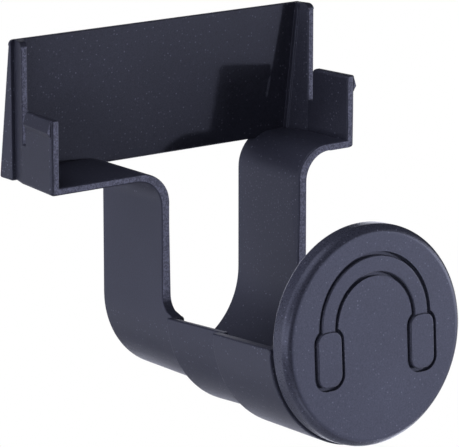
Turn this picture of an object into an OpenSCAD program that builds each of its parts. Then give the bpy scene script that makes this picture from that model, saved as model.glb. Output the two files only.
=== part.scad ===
// Headphone hook: a snap-in clip with a hanging cradle and a forward peg.
// X runs along the clip, +Y points to the back plate, +Z is up.
// The origin is at the foot of the back plate, in the middle of the clip.

/* [Clip] */
// Outside width across the front of the latch tabs
clip_w = 92; // [88:0.2:110]
// Depth from the front edges to the foot of the back plate
clip_d = 24.8; // [22:0.1:28]
// Angle by which each low end wall and latch tab closes in towards the back
splay = 6.3; // [4:0.1:8]
// Height of the back plate
plate_h = 34.6; // [28:0.1:45]
// Thickness of the back plate at its foot, front to back
plate_t = 2.4; // [2:0.1:2.6]
// Thickness of the back plate at its top
plate_top_t = 1.4; // [1.2:0.1:2]
// Forward lean of the back plate's back
lean = 7.7; // [5:0.1:9]
// Thickness of the low end walls and of the latch tabs
wall_t = 2.4; // [2:0.1:3]
// Thickness of the cheeks beside the back plate
cheek_t = 1.8; // [1.4:0.1:2]
// Angle by which each cheek closes in towards the plate
cheek_splay = 16; // [10:0.5:18]
// Width across the plate's end flanges
flange_w = 88.4; // [88:0.2:91]
// Depth of the end flanges at the foot of the plate
flange_d = 5.4; // [5:0.1:7]

/* [Latch tabs] */
// Height of the latch tabs above the underside
tab_h = 18.3; // [16:0.1:22]
// Depth of a latch tab, front to back
tab_d = 13.1; // [10:0.1:13.2]
// Width of the slot between a latch tab and its cheek
slot_w = 1.5; // [1.5:0.1:2.5]
// Height of the slot's floor, where the tab flexes
root_z = 9.9; // [8:0.1:11]
// Distance by which the barb stands out
barb_out = 0.85; // [0.4:0.05:1.2]
// Radial clearance around the root of a tab
root_gap = 0.06; // [0.03:0.01:0.09]

/* [Cradle] */
// Sideways offset of the cradle from the middle of the clip
cradle_x = 8.5; // [4:0.1:9]
// Outside radius of the U
cradle_r = 22.4; // [20:0.1:23]
// Height of the centre of the U
cradle_z = -33.1; // [-45:0.1:-30]
// Thickness of the strap
strap_t = 2.8; // [2.2:0.1:3.2]
// Thickness of the floors
floor_t = 1.9; // [1.5:0.1:2.4]
// Inside radius of the bends under the floors
bend_r = 7; // [5:0.1:7.4]
// Length by which the U runs on in front of the arms
stub_l = 5.4; // [5.2:0.1:8]
// Radius from the front edge of an arm into the rim
rim_fillet = 4.8; // [3:0.1:5.2]

/* [Peg] */
// Upward tilt of the peg
peg_tilt = 3.3; // [2:0.1:4]
// Drop of the peg's axis below the centre of the U, at the arms
peg_drop = 1.1; // [1:0.1:1.8]
// Distance from the arms to the back of the sleeve, on the axis
sleeve_start = 4; // [3.6:0.1:4.4]
// Distance from the arms to the front of the sleeve, on the axis
sleeve_end = 27; // [24:0.5:32]
// Outside radius of the sleeve
sleeve_r = 24; // [24:0.1:24.6]
// Length by which the shell laps over the sleeve
shell_lap = 1.8; // [1.5:0.1:4]
// Outside radius of the shell at its back
shell_r = 26.1; // [25.6:0.1:26.4]
// Outside radius of the shell at its front
shell_front_r = 27.1; // [26.4:0.1:27.4]
// Distance from the arms to the back of the end cap, on the axis
cap_start = 49; // [40:0.5:60]

/* [End cap] */
// Radius of the end cap
cap_r = 26.6; // [26.4:0.1:30]
// Thickness of the end cap
cap_t = 5.7; // [4.8:0.1:6.5]
// Radius of the end cap's edges
cap_edge = 2.2; // [0.6:0.1:2.3]
// Radius of the emblem's band, at its middle
emblem_r = 14; // [8:0.1:15]
// Width of the emblem's band
emblem_w = 4.2; // [2:0.1:5]
// Width of the groove around the emblem
emblem_gap = 0.7; // [0.4:0.1:1]

/* [Hidden] */
$fn = 96;

far = 200;                                  // longer than the whole hook
rise = plate_h * tan(lean);                 // forward shift of the plate's top
strap_in_r = cradle_r - strap_t;            // inside radius of the U
bend_out_r = bend_r + floor_t + 0.1;        // outside radius of the bends
rim_z = cradle_z - 0.8;                     // height of the U's rims
cheek_front = -clip_d + tab_d + slot_w;     // front edge of the cheeks
cheek_round = 1.2;                          // top front corner of the cheeks
tab_round = 1;                              // top corners of the latch tabs
barb_low = 4.2;                             // barb's foot below the tab's top
barb_peak = 2.9;                            // barb's tip below the tab's top
barb_inset = 0.4;                           // barb's ends from the tab's edges
sleeve_in_r = cradle_r;                     // inside radius of the sleeve
sleeve_wall = 1.6;                          // thickness of the sleeve's collar
peg_rim = 0.3;                              // peg's rims above its axis
rib_r = sleeve_r - 0.1;                     // locating rib on the cap's back
rib_t = 1.6;
rib_l = 3.5;
emblem_h = 0.9;                             // thickness of the emblem
emblem_sunk = 0.6;                          // depth of the emblem's recess
emblem_lift = 3.4;                          // band's centre above the cap's centre
cup_w = 7.4;                                // emblem's ear cups
cup_h = 13.5;
cup_round = 2.8;

// Half-width of the clip's outside, at y behind the plate's foot
function half_w(y) =
    y < cheek_front
        ? clip_w / 2 - (clip_d + y) * tan(splay)
        : clip_w / 2 - (clip_d + cheek_front) * tan(splay) - (y - cheek_front) * tan(cheek_splay);

// Both end walls in plan, from their inner faces out to x, as tall blocks
module end_walls(x) {
    past = 1;
    front = -clip_d - past;
    for (side = [0, 1])
        mirror([side, 0, 0])
            translate([0, 0, -past])
                linear_extrude(plate_h + 2 * past)
                    polygon([[half_w(front) - wall_t, front], [half_w(front) + x, front],
                             [half_w(cheek_front) + x, cheek_front], [half_w(past) + x, past],
                             [half_w(past) - cheek_t, past],
                             [half_w(cheek_front) - cheek_t, cheek_front]]);
}

// A side view, y across and z up, run along the whole width
module along_x() {
    translate([-far / 2, 0, 0])
        rotate([90, 0, 90])
            linear_extrude(far)
                children();
}

// A front view, x across and z up, run from y0 to y1
module along_y(y0, y1) {
    translate([0, y1, 0])
        rotate([90, 0, 0])
            linear_extrude(y1 - y0)
                children();
}

// The frame of the right end wall: x outwards, y to the back, from its front corner
module right_end() {
    translate([clip_w / 2, -clip_d, 0])
        rotate([0, 0, splay])
            children();
}

// The frame of the peg: z forwards along its axis, y up
module peg_frame() {
    translate([cradle_x, -clip_d, cradle_z - peg_drop])
        rotate([90 - peg_tilt, 0, 0])
            children();
}

// Side view of everything between y0 and the leaning back of the plate
module side_to_back(y0, top) {
    polygon([[y0, 0], [0, 0], [-top * tan(lean), top], [y0, top]]);
}

// Side view of a cheek
module cheek_side() {
    difference() {
        side_to_back(cheek_front, plate_h);
        translate([cheek_front, plate_h - cheek_round])
            difference() {
                translate([-1, 0])
                    square([cheek_round + 1, cheek_round + 1]);
                translate([cheek_round, 0])
                    circle(cheek_round);
            }
    }
}

// Front view of one arm's bend: the arm's outer face is at x = 0
module bend_front(run) {
    difference() {
        union() {
            translate([strap_t - bend_out_r, floor_t - bend_out_r])
                intersection() {
                    circle(bend_out_r);
                    square(bend_out_r);
                }
            translate([-run, 0])
                square([run + strap_t - bend_out_r, floor_t]);
        }
        translate([-bend_r, -bend_r])
            circle(bend_r);
    }
    translate([0, cradle_z])
        square([strap_t, floor_t - bend_out_r - cradle_z]);
}

// Front view of the whole strap: floors, bends, arms and U
module strap_front() {
    reach = clip_w / 2 - cradle_r;
    translate([cradle_x - cradle_r, 0])
        bend_front(reach + cradle_x);
    translate([cradle_x + cradle_r, 0])
        mirror([1, 0])
            bend_front(reach - cradle_x);
    translate([cradle_x, cradle_z])
        difference() {
            circle(cradle_r);
            circle(strap_in_r);
            translate([-far / 2, 0])
                square(far);
        }
}

// Side view of the strap: the arms, the stub of the U and the fillet between
module strap_side() {
    translate([-clip_d, cradle_z - far])
        square([clip_d, far - cradle_z + floor_t]);
    translate([-clip_d - stub_l, cradle_z - far])
        square([stub_l, far + rim_z - cradle_z]);
    translate([-clip_d - rim_fillet, rim_z])
        difference() {
            square(rim_fillet);
            translate([0, rim_fillet])
                circle(rim_fillet);
        }
}

// The strap, its floors ending at the inner faces of the end walls
module strap_solid() {
    difference() {
        intersection() {
            along_y(-clip_d - stub_l, 0)
                strap_front();
            along_x()
                strap_side();
        }
        end_walls(far);
    }
}

// Half pipe about the peg's axis, open above the rims, from r_back to r_front outside
module half_pipe(r_back, r_front, r_in, z0, z1) {
    difference() {
        translate([0, 0, z0])
            cylinder(r1 = r_back, r2 = r_front, h = z1 - z0);
        translate([0, 0, z0 - 1])
            cylinder(r = r_in, h = z1 - z0 + 2);
        translate([-far / 2, peg_rim, -far / 2])
            cube([far, far, far]);
    }
}

// The emblem's outline, a plain pair of headphones, grown by a margin
module emblem_solid(margin, h) {
    translate([0, emblem_lift, 0])
        difference() {
            cylinder(r = emblem_r + emblem_w / 2 + margin, h = h);
            translate([0, 0, -1])
                cylinder(r = emblem_r - emblem_w / 2 - margin, h = h + 2);
            translate([-far / 2, -far, -1])
                cube([far, far, h + 2]);
        }
    for (side = [-1, 1])
        translate([side * emblem_r, emblem_lift - cup_h / 2, 0])
            rounded_block(cup_w + 2 * margin, cup_h + 2 * margin, cup_round + margin, h);
}

module rounded_block(w, d, r, h) {
    translate([-w / 2 + r, -d / 2, 0])
        cube([w - 2 * r, d, h]);
    translate([-w / 2, -d / 2 + r, 0])
        cube([w, d - 2 * r, h]);
    for (x = [-1, 1], y = [-1, 1])
        translate([x * (w / 2 - r), y * (d / 2 - r), 0])
            cylinder(r = r, h = h);
}

// Back plate with its end flanges, cheeks and low end walls
module clip_frame() {
    color("#34343f")
        difference() {
            union() {
                intersection() {
                    along_x()
                        polygon([[0, 0], [-plate_t, 0],
                                 [-plate_top_t - rise, plate_h], [-rise, plate_h]]);
                    translate([-flange_w / 2, -clip_d, -1])
                        cube([flange_w, 2 * clip_d, plate_h + 2]);
                }
                intersection() {
                    along_x()
                        side_to_back(-flange_d, plate_h);
                    for (side = [0, 1])
                        mirror([side, 0, 0])
                            translate([half_w(0) - cheek_t / 2, -clip_d, -1])
                                cube([(flange_w + cheek_t) / 2 - half_w(0), 2 * clip_d, plate_h + 2]);
                }
                intersection() {
                    end_walls(0);
                    along_x()
                        union() {
                            cheek_side();
                            side_to_back(-clip_d, root_z);
                        }
                }
            }
            strap_solid();
            for (side = [0, 1])
                mirror([side, 0, 0])
                    right_end()
                        translate([-wall_t / 2, -1, root_z])
                            rotate([-90, 0, 0])
                                cylinder(r = wall_t / 2 + root_gap, h = tab_d + 1.4);
        }
}

// One latch tab, at the right end: a tongue with a barb on a rolled root
module latch_tab() {
    right_end() {
        difference() {
            translate([-wall_t, 0, root_z])
                cube([wall_t, tab_d, tab_h - root_z]);
            translate([-wall_t - 1, tab_d - tab_round, tab_h - tab_round])
                difference() {
                    cube([wall_t + 2, tab_round + 1, tab_round + 1]);
                    rotate([0, 90, 0])
                        cylinder(r = tab_round, h = wall_t + 2);
                }
            translate([-wall_t + tab_round, -1, tab_h - tab_round])
                rotate([0, -90, 0])
                    difference() {
                        cube([tab_round + 1, tab_d + 2, tab_round + 1]);
                        rotate([-90, 0, 0])
                            cylinder(r = tab_round, h = tab_d + 2);
                    }
        }
        translate([-wall_t / 2, 0, root_z])
            rotate([-90, 0, 0])
                cylinder(r = wall_t / 2, h = tab_d);
        translate([0, tab_d - barb_inset, tab_h])
            rotate([90, 0, 0])
                linear_extrude(tab_d - 2 * barb_inset)
                    polygon([[-0.5, -barb_low], [0, -barb_low],
                             [barb_out, -barb_peak], [0, -0.2], [-0.5, -0.2]]);
    }
}

module right_latch_tab() {
    color("#3a3a46")
        latch_tab();
}

module left_latch_tab() {
    color("#3a3a46")
        mirror([1, 0, 0])
            latch_tab();
}

// One band: two floors, two arms and the U between them
module cradle_strap() {
    color("#3c3c49")
        strap_solid();
}

// Rear section of the peg, closed around the stub of the U by a collar
module peg_sleeve() {
    color("#40404e")
        difference() {
            peg_frame()
                difference() {
                    half_pipe(sleeve_r, sleeve_r, 1, sleeve_start, sleeve_end);
                    translate([0, 0, sleeve_start + sleeve_wall])
                        cylinder(r = sleeve_in_r, h = far);
                }
            translate([cradle_x, 0, cradle_z])
                rotate([90, 0, 0])
                    cylinder(r = cradle_r, h = clip_d + stub_l);
            translate([cradle_x, 0, cradle_z])
                rotate([90, 0, 0])
                    cylinder(r = strap_in_r, h = clip_d + sleeve_end);
        }
}

// Front section of the peg, lapped over the sleeve
module peg_shell() {
    color("#42424f")
        peg_frame()
            half_pipe(shell_r, shell_front_r, sleeve_r, sleeve_end - shell_lap, cap_start);
}

// Round end cap, with a rib that sits inside the shell
module end_cap() {
    color("#4a4a59")
        peg_frame() {
            difference() {
                translate([0, 0, cap_start])
                    rotate_extrude()
                        cap_profile();
                translate([0, 0, cap_start + cap_t - emblem_sunk])
                    emblem_solid(emblem_gap, cap_t);
            }
            half_pipe(rib_r, rib_r, rib_r - rib_t, cap_start - rib_l, cap_start + 0.5);
        }
}

// Half section of the cap, with its two rounded edges
module cap_profile() {
    square([cap_r - cap_edge, cap_t]);
    translate([0, cap_edge])
        square([cap_r, cap_t - 2 * cap_edge]);
    for (z = [cap_edge, cap_t - cap_edge])
        translate([cap_r - cap_edge, z])
            circle(cap_edge);
}

// Plain headphone emblem, set in the cap's face
module cap_emblem() {
    color("#50505f")
        peg_frame()
            translate([0, 0, cap_start + cap_t - emblem_sunk])
                emblem_solid(0, emblem_h);
}

clip_frame();
left_latch_tab();
right_latch_tab();
cradle_strap();
peg_sleeve();
peg_shell();
end_cap();
cap_emblem();
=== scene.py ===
"""Headphone hook: a snap-in clip with flexing latch tabs, a hanging cradle and a forward peg with an end cap.

Lengths are millimetres in the frame of the CAD model, unless a line says otherwise: X along the clip, +Y to
the back plate, +Z up. They are turned into metres when a mesh is written.
"""
import math

import bmesh
import bpy
from mathutils import Matrix, Vector


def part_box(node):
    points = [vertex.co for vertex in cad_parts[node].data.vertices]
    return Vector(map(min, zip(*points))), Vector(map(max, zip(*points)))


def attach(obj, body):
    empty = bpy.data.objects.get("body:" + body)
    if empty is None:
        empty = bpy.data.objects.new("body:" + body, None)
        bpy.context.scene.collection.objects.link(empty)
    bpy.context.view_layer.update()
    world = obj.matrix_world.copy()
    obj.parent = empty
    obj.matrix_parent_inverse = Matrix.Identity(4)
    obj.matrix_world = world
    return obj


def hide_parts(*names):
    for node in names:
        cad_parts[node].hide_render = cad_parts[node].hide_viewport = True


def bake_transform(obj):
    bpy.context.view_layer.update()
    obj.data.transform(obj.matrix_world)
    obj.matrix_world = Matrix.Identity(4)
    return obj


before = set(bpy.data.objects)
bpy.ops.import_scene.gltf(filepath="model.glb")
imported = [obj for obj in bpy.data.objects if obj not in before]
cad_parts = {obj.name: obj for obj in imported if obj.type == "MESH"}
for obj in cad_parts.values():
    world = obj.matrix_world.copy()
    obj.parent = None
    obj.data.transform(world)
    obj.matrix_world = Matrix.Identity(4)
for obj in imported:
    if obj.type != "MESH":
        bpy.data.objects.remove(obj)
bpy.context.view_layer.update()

MM = 0.001


def edge_of(node, axis, top):
    """One side of a CAD node's box, in millimetres."""
    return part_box(node)[1 if top else 0][axis] / MM


# Clip, from the frame
HALF_W = edge_of("clip_frame", 0, True)           # half-width across the front of the end walls
FRONT = edge_of("clip_frame", 1, False)           # front edges of the floors, arms and tabs
PLATE_H = edge_of("clip_frame", 2, True)
TAB_H = edge_of("right_latch_tab", 2, True)
TAB_BACK = edge_of("right_latch_tab", 1, True)
FLOOR_T = edge_of("cradle_strap", 2, True)
STUB_FRONT = edge_of("cradle_strap", 1, False)    # the U runs on this far in front of the arms
# Clip, shape
SPLAY = math.tan(math.radians(6.3))               # low end walls and latch tabs close in to the back
CHEEK_SPLAY = math.tan(math.radians(16))          # cheeks close in to the plate
LEAN = math.tan(math.radians(7.7))                # forward lean of the plate's back
PLATE_T, PLATE_TOP_T = 2.4, 1.4
WALL_T, CHEEK_T = 2.4, 1.8
CHEEK_FRONT = -10.2
CHEEK_ROUND, FLANGE_ROUND, TOP_ROUND = 1.6, 1.2, 0.3
BEAD_D, BEAD_T = 1.7, 0.55                        # bead in the corner between plate and cheek
FLANGE_W, FLANGE_D = 88.4, 5.4
ROOT_Z = 9.9                                      # floor of the slot behind each latch tab
ROOT_REACH = 1.2                                  # a tab bends over this much above and below its root
BARB_OUT, BARB_LOW, BARB_PEAK, BARB_HIGH = 0.85, 4.2, 2.9, 0.25
BARB_INSET, BARB_SUNK = 0.4, 0.5
# Cradle and peg, shape
CRADLE_X, CRADLE_Z = 8.5, -33.1
CRADLE_R, STRAP_T = 22.4, 2.8
BEND_R = 7.0
BEND_OUT_R = BEND_R + FLOOR_T + 0.1
RIM_Z = CRADLE_Z - 0.8
RIM_FILLET = 4.8
FACET_CUT, FACET_START, FACET_DEPTH = 0.4, 0.7, 2.6  # tapering facet on the inner front edge of an arm
FACET_TOP, FACET_FOOT = -3.0, -29.0
PEG_TILT, PEG_DROP = math.radians(3.3), 1.1
PEG_RIM = 0.3
SLEEVE = (4.0, 27.0)                              # along the peg's axis, from the arms
SLEEVE_R, COLLAR_T = 24.0, 1.6
SHELL = (25.2, 49.0)
SHELL_R, SHELL_FRONT_R = 26.1, 27.1
SHELL_GAP = 0.2                                   # thin gap between the shell and the cap
SHELL_FLARE, SHELL_LAP = 0.5, 3.0
CAP_START, CAP_T, CAP_R = 49.0, 5.7, 26.6
CAP_EDGE, CAP_BACK_EDGE = 2.2, 0.8
RIB_R, RIB_T, RIB_L = 23.9, 1.6, 3.5
EMBLEM_R, EMBLEM_W, EMBLEM_LIFT = 14.0, 4.2, 3.4
CUP_W, CUP_H, CUP_ROUND = 7.4, 13.5, 2.8
EMBLEM_GAP, EMBLEM_SUNK, EMBLEM_H = 0.7, 0.6, 0.9
EMBLEM_SHRINK, EMBLEM_ROOT = 0.1, 0.5
BAND_LOWER = 0.25                                 # the emblem's band lies this far below its cups
RECESS_MORE = 0.4                                 # the recess is this much deeper than the emblem is sunk
# Roundings of edges
PLATE_EDGE, PLATE_HOLLOW, PLATE_FOOT = 0.3, 0.15, 0.6
WALL_OUTER, WALL_INNER, WALL_BACK = 0.9, 0.35, 0.4
BARB_EDGE = 0.12
ROOT_HOLLOW, ROOT_EDGE = 0.5, 0.25
STRAP_EDGE, STRAP_BACK, FLOOR_EDGE = 0.4, 0.3, 0.25
PEG_EDGE, RIB_EDGE, RECESS_EDGE = 0.35, 0.3, 0.22
# Small distances
TUCK = 0.02                                       # a piece that runs into another stays this far inside it
NEAR = 0.1                                        # an edge this near to a plane counts as lying on it

PEG = (Matrix.Translation((CRADLE_X, FRONT, CRADLE_Z - PEG_DROP))
       @ Matrix.Rotation(math.pi / 2 - PEG_TILT, 4, "X"))


# ---------------------------------------------------------------- mesh tools

def loft(bm, rings, ends=True):
    """Skin between rings of the same number of points; returns the rings' vertices."""
    made = [[bm.verts.new(p) for p in ring] for ring in rings]
    for low, high in zip(made, made[1:]):
        for i in range(len(low)):
            j = (i + 1) % len(low)
            bm.faces.new((low[i], low[j], high[j], high[i]))
    if ends:
        bm.faces.new(list(reversed(made[0])))
        bm.faces.new(made[-1])
    return made


def tidy(bm):
    bmesh.ops.remove_doubles(bm, verts=bm.verts, dist=1e-4)
    bmesh.ops.dissolve_degenerate(bm, edges=bm.edges, dist=1e-4)
    bmesh.ops.recalc_face_normals(bm, faces=bm.faces)


def slice_z(bm, heights):
    """Extra edge loops at these heights."""
    for z in heights:
        geom = bm.verts[:] + bm.edges[:] + bm.faces[:]
        bmesh.ops.bisect_plane(bm, geom=geom, plane_co=(0, 0, z), plane_no=(0, 0, 1))


def piece(name, bm, material, radius_of, segments=4, sharp_from=25, crease=None):
    """Writes the mesh in metres, with every edge sharper than sharp_from degrees rounded to radius_of(edge).

    Edges that crease(edge) picks stay as they are, but shade as a crease.
    """
    tidy(bm)
    weight = bm.edges.layers.float.new("bevel_weight_edge")
    radii = {}
    for e in bm.edges:
        if len(e.link_faces) == 2 and math.degrees(e.calc_face_angle(0)) > sharp_from:
            radii[e] = radius_of(e)
            e.smooth = radii[e] > 0
        elif crease and crease(e):
            e.smooth = False
    largest = max(radii.values(), default=0)
    for e, r in radii.items():
        e[weight] = r / largest if largest else 0.0
    bm.transform(Matrix.Scale(MM, 4))
    mesh = bpy.data.meshes.new(name)
    bm.to_mesh(mesh)
    bm.free()
    obj = bpy.data.objects.new(name, mesh)
    bpy.context.scene.collection.objects.link(obj)
    mesh.materials.append(material)
    for face in mesh.polygons:
        face.use_smooth = True
    if largest:
        bevel = obj.modifiers.new("edges", "BEVEL")
        bevel.width = largest * MM
        bevel.segments = segments
        bevel.limit_method = "WEIGHT"
        bevel.harden_normals = True
        bevel.use_clamp_overlap = False
    if sharp_from < 180:
        even_normals(obj)
        apply_modifiers(obj)
    return obj


def even_normals(obj):
    """Large flat faces keep their own normal, so that only the roundings shade smoothly."""
    evened = obj.modifiers.new("normals", "WEIGHTED_NORMAL")
    evened.keep_sharp = True


def apply_modifiers(obj):
    shown = obj.evaluated_get(bpy.context.evaluated_depsgraph_get())
    obj.data = bpy.data.meshes.new_from_object(shown)
    obj.modifiers.clear()


def keep(obj, node=None):
    """Puts a piece on the root body, in place of a CAD node."""
    if node:
        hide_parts(node)
    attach(obj, "root")


def middle(e):
    return (e.verts[0].co + e.verts[1].co) / 2


def along(e, axis):
    """True if the edge runs nearly along that axis."""
    d = (e.verts[1].co - e.verts[0].co).normalized()
    return abs(d[axis]) > 0.9


def is_hollow(e):
    """True if the two faces at the edge turn towards each other."""
    return not e.is_convex


def turn(z, r, angle):
    """A point of the peg, at angle about its axis and z along it."""
    return PEG @ Vector((r * math.cos(angle), r * math.sin(angle), z))


def half_turn(bm, profile, steps):
    """Sweeps profile(angle), a list of (z, r), under the peg's axis from rim to rim."""
    rings = []
    for i in range(steps + 1):
        angle = -math.pi * i / steps
        rings.append([turn(z, r, angle) for z, r in profile(angle)])
    for at, angle in ((0, 0.0), (len(rings) + 1, -math.pi)):
        side = math.cos(angle)
        rings.insert(at, [PEG @ Vector((side * r, PEG_RIM, z)) for z, r in profile(angle)])
    loft(bm, rings)


# ---------------------------------------------------------------- materials

GLOSS_TINT = (0.76, 0.79, 1.0, 1)
EDGE_HIGHLIGHT_COLOUR = (0.28, 0.285, 0.38)                 # painted highlight on the front edges
SPECK_COLOUR = (0.34, 0.35, 0.45)
# Texture scales, per metre
PIT_SCALE, FINE_SCALE, CLOUD_SCALE = 2600, 7000, 60  # spark pits, grain between them, slow drift of tone
SPECK_SCALE, EDGE_HIGHLIGHT_MOTTLE_SCALE = 1200, 2400             # pale specks, coarse mottle of the painted highlight on the front edges
BUMP_HEIGHT = 0.06


def plastic(name, base, rough, grain, speck, gloss, face=None):
    """Moulded plastic with a spark-eroded grain: mottled tone, pale specks, uneven gloss and a fine bump.

    The front edges of the clip and band are rougher and carry a painted highlight, a paler and coarsely
    mottled tone.
    Where face is given, it is the tone of the front face, lighter than the rim partly for its duller finish
    and partly as painted light, and base that of the smoother rim around it.
    """
    mat = bpy.data.materials.new(name)
    mat.use_nodes = True
    nodes, links = mat.node_tree.nodes, mat.node_tree.links
    nodes.clear()
    out = nodes.new("ShaderNodeOutputMaterial")
    shader = nodes.new("ShaderNodeBsdfPrincipled")
    shader.inputs["IOR"].default_value = 1.5
    shader.inputs["Specular IOR Level"].default_value = gloss
    shader.inputs["Specular Tint"].default_value = GLOSS_TINT
    links.new(shader.outputs[0], out.inputs[0])
    textures = nodes.new("ShaderNodeTexCoord")
    coords = textures.outputs["Object"]

    def noise(scale, detail):
        n = nodes.new("ShaderNodeTexNoise")
        n.inputs["Scale"].default_value = scale
        n.inputs["Detail"].default_value = detail
        n.inputs["Roughness"].default_value = 0.6
        links.new(coords, n.inputs["Vector"])
        return n.outputs["Fac"]

    def spread(value, low, high, to_low, to_high):
        m = nodes.new("ShaderNodeMapRange")
        for key, number in (("From Min", low), ("From Max", high), ("To Min", to_low), ("To Max", to_high)):
            m.inputs[key].default_value = number
        links.new(value, m.inputs["Value"])
        return m.outputs["Result"]

    def combine(operation, a, b):
        m = nodes.new("ShaderNodeMath")
        m.operation = operation
        links.new(a, m.inputs[0])
        if isinstance(b, float):
            m.inputs[1].default_value = b
        else:
            links.new(b, m.inputs[1])
        return m.outputs[0]

    def paler(colour, share, to):
        m = nodes.new("ShaderNodeMix")
        m.data_type = "RGBA"
        links.new(share, m.inputs["Factor"])
        links.new(colour, m.inputs["A"])
        m.inputs["B"].default_value = (*to, 1)
        return m.outputs["Result"]

    pits = noise(PIT_SCALE, 3)
    fine = noise(FINE_SCALE, 2)
    cloud = noise(CLOUD_SCALE, 3)
    place = nodes.new("ShaderNodeSeparateXYZ")
    links.new(coords, place.inputs[0])
    facing = nodes.new("ShaderNodeSeparateXYZ")
    links.new(textures.outputs["Normal"], facing.inputs[0])
    forward = spread(facing.outputs["Y"], -0.93, -0.985, 0.0, 1.0)
    ahead = spread(place.outputs["Y"], -9.0 * MM, -9.5 * MM, 0.0, 1.0)
    behind = spread(place.outputs["Y"], (FRONT - 0.8) * MM, (FRONT - 0.3) * MM, 0.0, 1.0)
    edge = combine("MULTIPLY", forward, combine("MULTIPLY", ahead, behind))
    tone = combine("MULTIPLY", spread(pits, 0.3, 0.7, 1 - grain, 1 + grain),
                   spread(cloud, 0.3, 0.7, 0.94, 1.07))
    tint = nodes.new("ShaderNodeMix")
    tint.data_type = "RGBA"
    tint.blend_type = "MULTIPLY"
    tint.inputs["Factor"].default_value = 1.0
    tint.inputs["A"].default_value = (*base, 1)
    # front-facing faces take the lighter face tone: partly a duller finish, partly painted light
    if face:
        tones = nodes.new("ShaderNodeMix")
        tones.data_type = "RGBA"
        links.new(forward, tones.inputs["Factor"])
        tones.inputs["A"].default_value = (*base, 1)
        tones.inputs["B"].default_value = (*face, 1)
        links.new(tones.outputs["Result"], tint.inputs["A"])
    links.new(tone, tint.inputs["B"])
    cells = nodes.new("ShaderNodeTexVoronoi")
    cells.inputs["Scale"].default_value = SPECK_SCALE
    links.new(coords, cells.inputs["Vector"])
    near = spread(cells.outputs["Distance"], 0.12, 0.3, 1.0, 0.0)
    split = nodes.new("ShaderNodeSeparateColor")
    links.new(cells.outputs["Color"], split.inputs[0])
    chosen = spread(split.outputs[0], 0.60, 1.0, 0.0, 1.0)
    specks = combine("MULTIPLY", combine("MULTIPLY", near, chosen), speck)
    colour = paler(tint.outputs["Result"], specks, SPECK_COLOUR)
    if not face:
        # painted highlight: the front edges are mixed towards a paler, mottled colour
        edge_highlight = combine("MULTIPLY", spread(noise(EDGE_HIGHLIGHT_MOTTLE_SCALE, 2), 0.40, 0.64, 0.30, 1.0), edge)
        colour = paler(colour, combine("MULTIPLY", edge_highlight, 0.7), EDGE_HIGHLIGHT_COLOUR)
    links.new(colour, shader.inputs["Base Color"])
    dull = combine("ADD", spread(combine("ADD", pits, fine), 0.7, 1.3, rough - 0.07, rough + 0.08),
                   combine("MULTIPLY", forward if face else edge, 0.2))
    links.new(dull, shader.inputs["Roughness"])
    bump = nodes.new("ShaderNodeBump")
    bump.inputs["Strength"].default_value = 0.5
    bump.inputs["Distance"].default_value = BUMP_HEIGHT * MM
    links.new(combine("ADD", pits, combine("MULTIPLY", fine, 0.4)), bump.inputs["Height"])
    links.new(bump.outputs[0], shader.inputs["Normal"])
    return mat


CLIP_PLASTIC = plastic("clip_plastic", (0.0255, 0.0260, 0.0380), 0.50, 0.42, 0.36, 0.6)
CRADLE_PLASTIC = plastic("cradle_plastic", (0.031, 0.032, 0.047), 0.48, 0.28, 0.35, 0.62)
# the cap's front face is lighter than its rim: partly a duller finish, partly painted light
CAP_PLASTIC = plastic("cap_plastic", (0.048, 0.050, 0.071), 0.30, 0.24, 0.5, 0.5, face=(0.090, 0.0945, 0.136))


# ---------------------------------------------------------------- clip

def half_w(y):
    """Half-width of the clip's outside at y."""
    if y < CHEEK_FRONT:
        return HALF_W - (y - FRONT) * SPLAY
    return HALF_W - (CHEEK_FRONT - FRONT) * SPLAY - (y - CHEEK_FRONT) * CHEEK_SPLAY


def wall_in(y):
    """Inner face of an end wall at y: the wall thins a little towards the cheek."""
    if y >= CHEEK_FRONT:
        return half_w(y) - CHEEK_T
    share = (y - FRONT) / (CHEEK_FRONT - FRONT)
    return half_w(y) - WALL_T + (WALL_T - CHEEK_T) * share


def rounded_off(z, top, radius):
    """How far a face has drawn in at height z, where it rounds over into the top."""
    over = max(z - (top - radius), 0.0)
    return radius - math.sqrt(max(radius ** 2 - over ** 2, 0.0))


def plan_of_plate(z):
    """Outline of plate, cheeks and flanges at height z, from the right flange's back round to the left's."""
    soft = rounded_off(z, PLATE_H, TOP_ROUND)
    back = -z * LEAN - soft
    front = -PLATE_T + (PLATE_T - PLATE_TOP_T - PLATE_H * LEAN) * z / PLATE_H + soft
    end = FLANGE_W / 2 - rounded_off(z, PLATE_H, FLANGE_ROUND)
    tip = CHEEK_FRONT + rounded_off(z, PLATE_H, CHEEK_ROUND)
    right = [(end, back), (end, -FLANGE_D), (half_w(-FLANGE_D), -FLANGE_D),
             (half_w(tip), tip), (wall_in(tip), tip)]
    foot = front - BEAD_D
    inner = wall_in(foot) - BEAD_T
    right += [(wall_in(foot), foot), (inner, foot + BEAD_T / 2), (inner + 0.6 * BEAD_T, front)]
    left = [(-x, y) for x, y in reversed(right)]
    return [Vector((x, y, z)) for x, y in right + left]


def make_clip_plate():
    bm = bmesh.new()
    steps = 8
    tops = {PLATE_H}
    for r in (CHEEK_ROUND, FLANGE_ROUND, TOP_ROUND):
        tops.update(PLATE_H - r * (1 - math.sin(math.pi / 2 * i / steps)) for i in range(steps))
    loft(bm, [plan_of_plate(z) for z in [2 * TUCK] + sorted(tops)])

    def radius(e):
        at = middle(e)
        if at.z > PLATE_H - CHEEK_ROUND - TUCK / 2:
            return 0.0
        if is_hollow(e):
            return PLATE_HOLLOW
        return PLATE_FOOT if at.z < 1 else PLATE_EDGE

    obj = piece("back_plate", bm, CLIP_PLASTIC, radius)
    keep(obj, "clip_frame")


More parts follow.
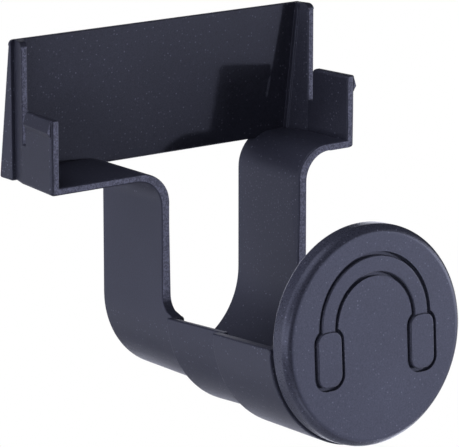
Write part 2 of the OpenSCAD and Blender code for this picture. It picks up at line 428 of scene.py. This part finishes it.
def side_quads(bm, outline, thick_in, thick_out):
    """A wall from its side outline [(y, z)]; its outer and inner faces follow thick_out and thick_in."""
    outer = [bm.verts.new((thick_out(y), y, z)) for y, z in outline]
    inner = [bm.verts.new((thick_in(y), y, z)) for y, z in outline]
    bm.faces.new(outer)
    bm.faces.new(list(reversed(inner)))
    for i in range(len(outline)):
        j = (i + 1) % len(outline)
        bm.faces.new((outer[i], inner[i], inner[j], outer[j]))


def make_end_wall(side, name):
    """Low end wall with its latch tongue and barb, in one piece, with extra edge loops at the tongue's root.
    """
    bm = bmesh.new()
    tail = CHEEK_FRONT + 1.0
    side_quads(bm, [(FRONT, 0), (CHEEK_FRONT, 0), (CHEEK_FRONT, ROOT_Z), (TAB_BACK, ROOT_Z),
                    (TAB_BACK, TAB_H), (FRONT, TAB_H)], wall_in, half_w)
    barb = [(-BARB_SUNK, -BARB_LOW), (0, -BARB_LOW), (BARB_OUT, -BARB_PEAK), (0, -BARB_HIGH),
            (-BARB_SUNK, -BARB_HIGH)]
    rings = []
    for y in (FRONT + BARB_INSET, TAB_BACK - BARB_INSET):
        rings.append([Vector((half_w(y) + x, y, TAB_H + z)) for x, z in barb])
    loft(bm, rings)
    slices = 8
    slice_z(bm, [ROOT_Z - ROOT_REACH + 2 * ROOT_REACH / slices * i for i in range(slices + 1)])
    head, top = CHEEK_FRONT - 0.05, ROOT_Z - 0.1
    tuck = bmesh.new()
    side_quads(tuck, [(head, TUCK), (tail, TUCK), (tail, top), (head, top)],
               lambda y: wall_in(y) + TUCK, lambda y: half_w(y) - TUCK)
    held = bpy.data.meshes.new("tuck")
    tuck.to_mesh(held)
    tuck.free()
    bm.from_mesh(held)
    bpy.data.meshes.remove(held)
    bm.transform(Matrix.Diagonal((side, 1, 1, 1)))

    def radius(e):
        at = middle(e)
        x, y = abs(at.x), at.y
        middle_x = (half_w(y) + wall_in(y)) / 2
        outer, inner = x > middle_x + 0.3, x < middle_x - 0.3
        if x > half_w(y) + TUCK:
            return BARB_EDGE
        if y > CHEEK_FRONT + 0.5 or TAB_H - BARB_LOW - 0.05 < at.z < TAB_H - NEAR and not along(e, 2):
            return 0.0
        if along(e, 2):
            if y > TAB_BACK + 0.5:
                return 0.0
            if y > TAB_BACK - 0.5:
                return WALL_BACK
            return WALL_OUTER if outer else WALL_INNER
        if at.z > TAB_H - NEAR:
            return WALL_OUTER if inner or y > TAB_BACK - 0.5 else WALL_BACK
        if at.z < NEAR:
            return WALL_OUTER if outer or y < FRONT + NEAR else 0.0
        if abs(at.z - ROOT_Z) < NEAR:
            return ROOT_HOLLOW if is_hollow(e) else ROOT_EDGE
        return 0.0

    obj = piece(name, bm, CLIP_PLASTIC, radius)
    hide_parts(name.replace("_end_wall", "_latch_tab"))
    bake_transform(obj)


# ---------------------------------------------------------------- cradle

def arm_front(z):
    """Front edge of the strap at height z: straight down the arm, then curving out into the rim."""
    start = RIM_Z + RIM_FILLET
    if z >= start:
        return FRONT + TUCK
    if z > RIM_Z:
        drop = start - z
        return FRONT + TUCK - (RIM_FILLET - math.sqrt(max(RIM_FILLET ** 2 - drop ** 2, 0)))
    return STUB_FRONT


def strap_stations():
    """Stations down the left arm, from the bend under the floor to the U: upper point, lower point."""
    reach = CRADLE_X - CRADLE_R
    made = []
    centre_in = (reach + STRAP_T - BEND_OUT_R, FLOOR_T - BEND_OUT_R)
    centre_under = (reach - BEND_R, -BEND_R)
    bends = 14
    for i in range(bends + 1):
        angle = math.pi / 2 * (1 - i / bends)
        c, s = math.cos(angle), math.sin(angle)
        made.append(((centre_in[0] + BEND_OUT_R * c, centre_in[1] + BEND_OUT_R * s),
                     (centre_under[0] + BEND_R * c, centre_under[1] + BEND_R * s)))
    heights = [-12.0, -18.0, -24.0]
    fillets = 10
    for i in range(fillets):
        heights.append(RIM_Z + RIM_FILLET * (1 - math.sin(math.pi / 2 * i / fillets)))
    for z in heights:
        if z > CRADLE_Z:
            made.append(((reach + STRAP_T, z), (reach, z)))
    return made


def make_strap():
    bm = bmesh.new()
    half = strap_stations()
    arcs = 56
    first = math.degrees(math.asin((CRADLE_Z - RIM_Z) / (CRADLE_R - STRAP_T / 2)))
    curve = []
    for i in range(arcs + 1):
        share = i / arcs
        angle = math.radians(180 + first + (180 - 2 * first) * share)
        c, s = math.cos(angle), math.sin(angle)
        inner = CRADLE_R - STRAP_T
        curve.append(((CRADLE_X + inner * c, CRADLE_Z + inner * s),
                      (CRADLE_X + CRADLE_R * c, CRADLE_Z + CRADLE_R * s)))
    mirrored = [((2 * CRADLE_X - a[0], a[1]), (2 * CRADLE_X - b[0], b[1])) for a, b in reversed(half)]

    def ring(a, b, front, facet=0.0):
        """One cross-section: upper surface back to front, then under surface; facet is the facet's share."""
        toward = Vector((b[0] - a[0], 0, b[1] - a[1])).normalized()
        up_front = Vector((a[0], front, a[1])) + toward * FACET_CUT * facet
        fold = Vector((a[0], front + FACET_START + FACET_DEPTH * facet, a[1]))
        return [Vector((a[0], back, a[1])), fold, up_front,
                Vector((b[0], front, b[1])), Vector((b[0], back, b[1]))]

    def facet_at(z):
        """The facet grows up the arm over 20 mm and runs out over 5 mm below the bend."""
        return max(0.0, min((z - FACET_FOOT) / 20, 1.0)) * max(0.0, min((FACET_TOP - z) / 5, 1.0))

    def arm(stations):
        for a, b in stations:
            lower = (b[0], max(b[1], TUCK)) if b[1] > -0.01 else b
            rings.append(ring(a, lower, arm_front(a[1]), facet_at(a[1])))

    back = 0.0
    fillet_end = FRONT + TUCK - RIM_FILLET
    end_front = wall_in(FRONT) + 0.9
    end_back = half_w(0) - 0.25
    rings = []

    def floor_end(side):
        made = ring((0, FLOOR_T), (0, TUCK), FRONT + TUCK)
        for p in made:
            share = (p.y - FRONT) / -FRONT
            p.x = side * (end_front + (end_back - end_front) * share)
        return made

    rings.append(floor_end(-1))
    arm(half)
    rings.append(ring(*curve[0], fillet_end))
    rings += [ring(a, b, STUB_FRONT) for a, b in curve]
    rings.append(ring(*curve[-1], fillet_end))
    arm(mirrored)
    rings.append(floor_end(1))
    loft(bm, rings)

    def radius(e):
        at = middle(e)
        if abs(at.x) > half_w(-FLANGE_D) - 5 and at.z > -0.5:
            return FLOOR_EDGE if along(e, 0) and at.y < FRONT + 1 and at.z > 1 else 0.0
        return STRAP_BACK if at.y > -NEAR else STRAP_EDGE

    def at_facet(e):
        at = middle(e)
        shown = FACET_FOOT + 1 < at.z < FACET_TOP - 0.5
        return shown and along(e, 2) and FRONT + 0.8 < at.y < FRONT + 3.6

    obj = piece("cradle", bm, CRADLE_PLASTIC, radius, sharp_from=40, crease=at_facet)
    keep(obj, "cradle_strap")


# ---------------------------------------------------------------- peg

def make_sleeve():
    """Rear section of the half pipe: its collar closes in around the stub of the U."""
    bm = bmesh.new()
    inside = CRADLE_R
    start, end = SLEEVE

    def profile(angle):
        lift = PEG_DROP * math.sin(angle)
        held = CRADLE_R - STRAP_T / 2
        hole = lift + math.sqrt(held ** 2 - (PEG_DROP * math.cos(angle)) ** 2)
        return [(start, hole), (start, SLEEVE_R), (end, SLEEVE_R), (end, inside),
                (start + COLLAR_T, inside), (start + COLLAR_T, hole)]

    half_turn(bm, profile, 64)
    obj = piece("peg_sleeve_section", bm, CRADLE_PLASTIC, lambda e: PEG_EDGE, segments=3, sharp_from=40)
    keep(obj, "peg_sleeve")


def make_shell():
    """Front section of the half pipe, which opens slightly towards the cap."""
    bm = bmesh.new()
    start, end = SHELL[0], SHELL[1] - SHELL_GAP

    def profile(angle):
        return [(start, SLEEVE_R + TUCK), (start, SHELL_R), (end, SHELL_FRONT_R),
                (end, SLEEVE_R + SHELL_FLARE), (start + SHELL_LAP, SLEEVE_R + TUCK)]

    half_turn(bm, profile, 64)
    obj = piece("peg_shell_section", bm, CRADLE_PLASTIC, lambda e: PEG_EDGE, segments=3, sharp_from=40)
    keep(obj, "peg_shell")


# ---------------------------------------------------------------- end cap

def arc(cx, cy, r, a0, a1, steps):
    """Points of an arc, angles in degrees."""
    points = []
    for i in range(steps + 1):
        a = math.radians(a0 + (a1 - a0) * i / steps)
        points.append((cx + r * math.cos(a), cy + r * math.sin(a)))
    return points


def band_outline(grow):
    """The headband of the emblem, a half ring that runs down into the cups."""
    sink = -1.0
    out = arc(0, EMBLEM_LIFT, EMBLEM_R + EMBLEM_W / 2 + grow, 0, 180, 40)
    back = arc(0, EMBLEM_LIFT, EMBLEM_R - EMBLEM_W / 2 - grow, 180, 0, 32)
    return ([(out[0][0], EMBLEM_LIFT + sink)] + out + [(out[-1][0], EMBLEM_LIFT + sink)]
            + [(back[0][0], EMBLEM_LIFT + sink)] + back + [(back[-1][0], EMBLEM_LIFT + sink)])


def cup_outline(side, grow):
    """One ear cup of the emblem, a rounded block."""
    w, h, r = CUP_W / 2 + grow, CUP_H / 2 + grow, CUP_ROUND + grow
    cx, cy = side * EMBLEM_R, EMBLEM_LIFT - CUP_H / 2
    points = []
    for sx, sy, a0 in ((1, 1, 0), (-1, 1, 90), (-1, -1, 180), (1, -1, 270)):
        points += arc(cx + sx * (w - r), cy + sy * (h - r), r, a0, a0 + 90, 8)
    return points


def slab(bm, outline, low, high):
    loft(bm, [[PEG @ Vector((x, y, z)) for x, y in outline] for z in (low, high)])


def make_cap():
    """Turned cap with rounded edges, a locating rib on its back and a recess for the emblem."""
    bm = bmesh.new()
    low, high = CAP_START, CAP_START + CAP_T
    rim = CAP_R - CAP_EDGE
    half = ([(low, 0.0), (low, CAP_R - CAP_BACK_EDGE)]
            + [(low + CAP_BACK_EDGE + y, CAP_R - CAP_BACK_EDGE + x)
               for x, y in arc(0, 0, CAP_BACK_EDGE, -90, 0, 6)[1:]]
            + [(high - CAP_EDGE + y, rim + x) for x, y in arc(0, 0, CAP_EDGE, 0, 90, 8)]
            + [(high, 0.0)])
    steps = 144
    rings = []
    for i in range(steps):
        angle = 2 * math.pi * i / steps
        rings.append([turn(z, r, angle) for z, r in half])
    made = [[bm.verts.new(p) for p in ring] for ring in rings]
    for i in range(steps):
        a, b = made[i], made[(i + 1) % steps]
        for j in range(1, len(half) - 2):
            bm.faces.new((a[j], a[j + 1], b[j + 1], b[j]))
    for ring in made:
        bm.verts.remove(ring[0])
        bm.verts.remove(ring[-1])
    bm.faces.new([ring[1] for ring in made])
    bm.faces.new([ring[-2] for ring in reversed(made)])
    cap = piece("end_cap_disc", bm, CAP_PLASTIC, lambda e: 0.0, sharp_from=181)
    cutters = []
    groove = EMBLEM_GAP + EMBLEM_SHRINK
    for outline in (band_outline(groove), cup_outline(-1, groove), cup_outline(1, groove)):
        cut = bmesh.new()
        slab(cut, outline, high - EMBLEM_SUNK - RECESS_MORE, high + 2)
        cutter = piece("cutter", cut, CAP_PLASTIC, lambda e: 0.0, sharp_from=181)
        cutters.append(cutter)
        hole = cap.modifiers.new("recess", "BOOLEAN")
        hole.operation = "DIFFERENCE"
        hole.solver = "EXACT"
        hole.object = cutter
    apply_modifiers(cap)
    for cutter in cutters:
        bpy.data.objects.remove(cutter)
    edges = cap.modifiers.new("edges", "BEVEL")
    edges.width = RECESS_EDGE * MM
    edges.segments = 3
    edges.limit_method = "ANGLE"
    edges.angle_limit = math.radians(50)
    even_normals(cap)
    apply_modifiers(cap)
    keep(cap, "end_cap")
    rib = bmesh.new()
    half_turn(rib, lambda angle: [(low - RIB_L, RIB_R - RIB_T), (low - RIB_L, RIB_R), (low + 0.3, RIB_R),
                                  (low + 0.3, RIB_R - RIB_T)], 48)
    obj = piece("end_cap_rib", rib, CAP_PLASTIC, lambda e: RIB_EDGE, segments=3, sharp_from=40)
    keep(obj)


def make_emblem():
    """Plain headphone emblem with soft edges, set in its recess."""
    bm = bmesh.new()
    low = CAP_START + CAP_T - EMBLEM_SUNK - EMBLEM_ROOT
    high = CAP_START + CAP_T - EMBLEM_SUNK + EMBLEM_H
    slab(bm, band_outline(-EMBLEM_SHRINK), low, high - BAND_LOWER)
    for side in (-1, 1):
        slab(bm, cup_outline(side, -EMBLEM_SHRINK), low, high)
    obj = piece("emblem", bm, CAP_PLASTIC, lambda e: PEG_EDGE, segments=4, sharp_from=50)
    keep(obj, "cap_emblem")


make_clip_plate()
make_end_wall(-1, "left_end_wall")
make_end_wall(1, "right_end_wall")
make_strap()
make_sleeve()
make_shell()
make_cap()
make_emblem()


# ---------------------------------------------------------------- floor, light and camera

def make_floor():
    mesh = bpy.data.meshes.new("floor")
    size, below = 0.5, -0.60                      # metres: the hook hangs well above the floor
    mesh.from_pydata([(-size, -size, below), (size, -size, below), (size, size, below), (-size, size, below)],
                     [], [(0, 1, 2, 3)])
    floor = bpy.data.objects.new("floor", mesh)
    bpy.context.scene.collection.objects.link(floor)
    mat = bpy.data.materials.new("pale_floor")
    mat.use_nodes = True
    shader = mat.node_tree.nodes["Principled BSDF"]
    shader.inputs["Base Color"].default_value = (0.9, 0.9, 0.9, 1)
    shader.inputs["Roughness"].default_value = 0.9
    mesh.materials.append(mat)


def make_softbox(name, azimuth, elevation, wide, high, radiance, distance=1.4):
    """Lamp that faces the hook and spans wide by high degrees; azimuth 0 is in front and 90 to the right.

    The distance is in metres.
    """
    a, e = math.radians(azimuth), math.radians(elevation)
    data = bpy.data.lights.new(name, "AREA")
    data.shape = "RECTANGLE"
    data.size = 2 * distance * math.tan(math.radians(wide) / 2)
    data.size_y = 2 * distance * math.tan(math.radians(high) / 2)
    data.energy = math.pi * data.size * data.size_y * radiance
    data.color = LAMP_TINT
    lamp = bpy.data.objects.new(name, data)
    bpy.context.scene.collection.objects.link(lamp)
    out = Vector((math.sin(a) * math.cos(e), -math.cos(a) * math.cos(e), math.sin(e)))
    lamp.location = MIDDLE + out * distance
    lamp.rotation_mode = "QUATERNION"
    lamp.rotation_quaternion = out.to_track_quat("Z", "Y")
    lamp.visible_camera = False


def make_camera(aim, azimuth, elevation, distance, lens):
    a, e = math.radians(azimuth), math.radians(elevation)
    data = bpy.data.cameras.new("camera")
    data.lens = lens
    data.sensor_width = 36
    data.clip_start, data.clip_end = 0.01, 100
    camera = bpy.data.objects.new("camera", data)
    bpy.context.scene.collection.objects.link(camera)
    back = Vector((math.sin(a) * math.cos(e), -math.cos(a) * math.cos(e), math.sin(e)))
    camera.location = aim + back * distance
    camera.rotation_mode = "QUATERNION"
    camera.rotation_quaternion = back.to_track_quat("Z", "Y")
    bpy.context.scene.camera = camera


def make_world(dim):
    """White studio backdrop behind the hook, which lights it only dimly."""
    world = bpy.data.worlds.new("studio")
    world.use_nodes = True
    nodes, links = world.node_tree.nodes, world.node_tree.links
    back = nodes["Background"]
    back.inputs["Color"].default_value = (1, 1, 1, 1)
    seen = nodes.new("ShaderNodeLightPath")
    level = nodes.new("ShaderNodeMapRange")
    level.inputs["To Min"].default_value = dim
    level.inputs["To Max"].default_value = 1.0
    links.new(seen.outputs["Is Camera Ray"], level.inputs["Value"])
    links.new(level.outputs["Result"], back.inputs["Strength"])
    bpy.context.scene.world = world


MIDDLE = Vector((0.004, -0.028, -0.013))          # metres, the point that the lamps face
LAMP_TINT = (0.94, 0.96, 1.1)
BACKDROP_DIM = 0.03
LAMPS = (
    # name, azimuth, elevation, width, height in degrees, radiance
    ("key", 52, -3, 2.2, 2.2, 400),
    ("right_wash", 67, -1, 44, 21, 3.2),
    ("back_right", 157, -1, 44, 21, 2.4),
    ("back_low_left", 205, -24, 60, 26, 0.75),
    ("back_low_right", 112, -26, 44, 27, 0.8),
    ("left_back", 247, -1, 44, 21, 2.4),
    ("left", 292, -1, 44, 21, 2.9),
    ("back_low", 150, -26, 30, 22, 2.2),
    ("left_top", 247, 25, 44, 28, 1.0),
    ("front_left", -46, 8, 8, 12, 4.0),
    ("top", 270, 65, 60, 40, 1.6),
    ("low_right", 90, -46, 60, 12, 4.3),
)
CAMERA_AIM = Vector((0.00388, -0.02847, -0.01298))  # metres
CAMERA_DISTANCE = 0.8649                          # metres
CAMERA_AZIMUTH, CAMERA_ELEVATION = -37.11, 13.69
CAMERA_LENS = 277.7

make_floor()
make_world(BACKDROP_DIM)
for lamp in LAMPS:
    make_softbox(*lamp)
make_softbox("low_front", -15, -42, 36, 14, 2.2, distance=0.6)
make_camera(CAMERA_AIM, CAMERA_AZIMUTH, CAMERA_ELEVATION, CAMERA_DISTANCE, CAMERA_LENS)
bpy.context.scene.view_settings.view_transform = "Standard"
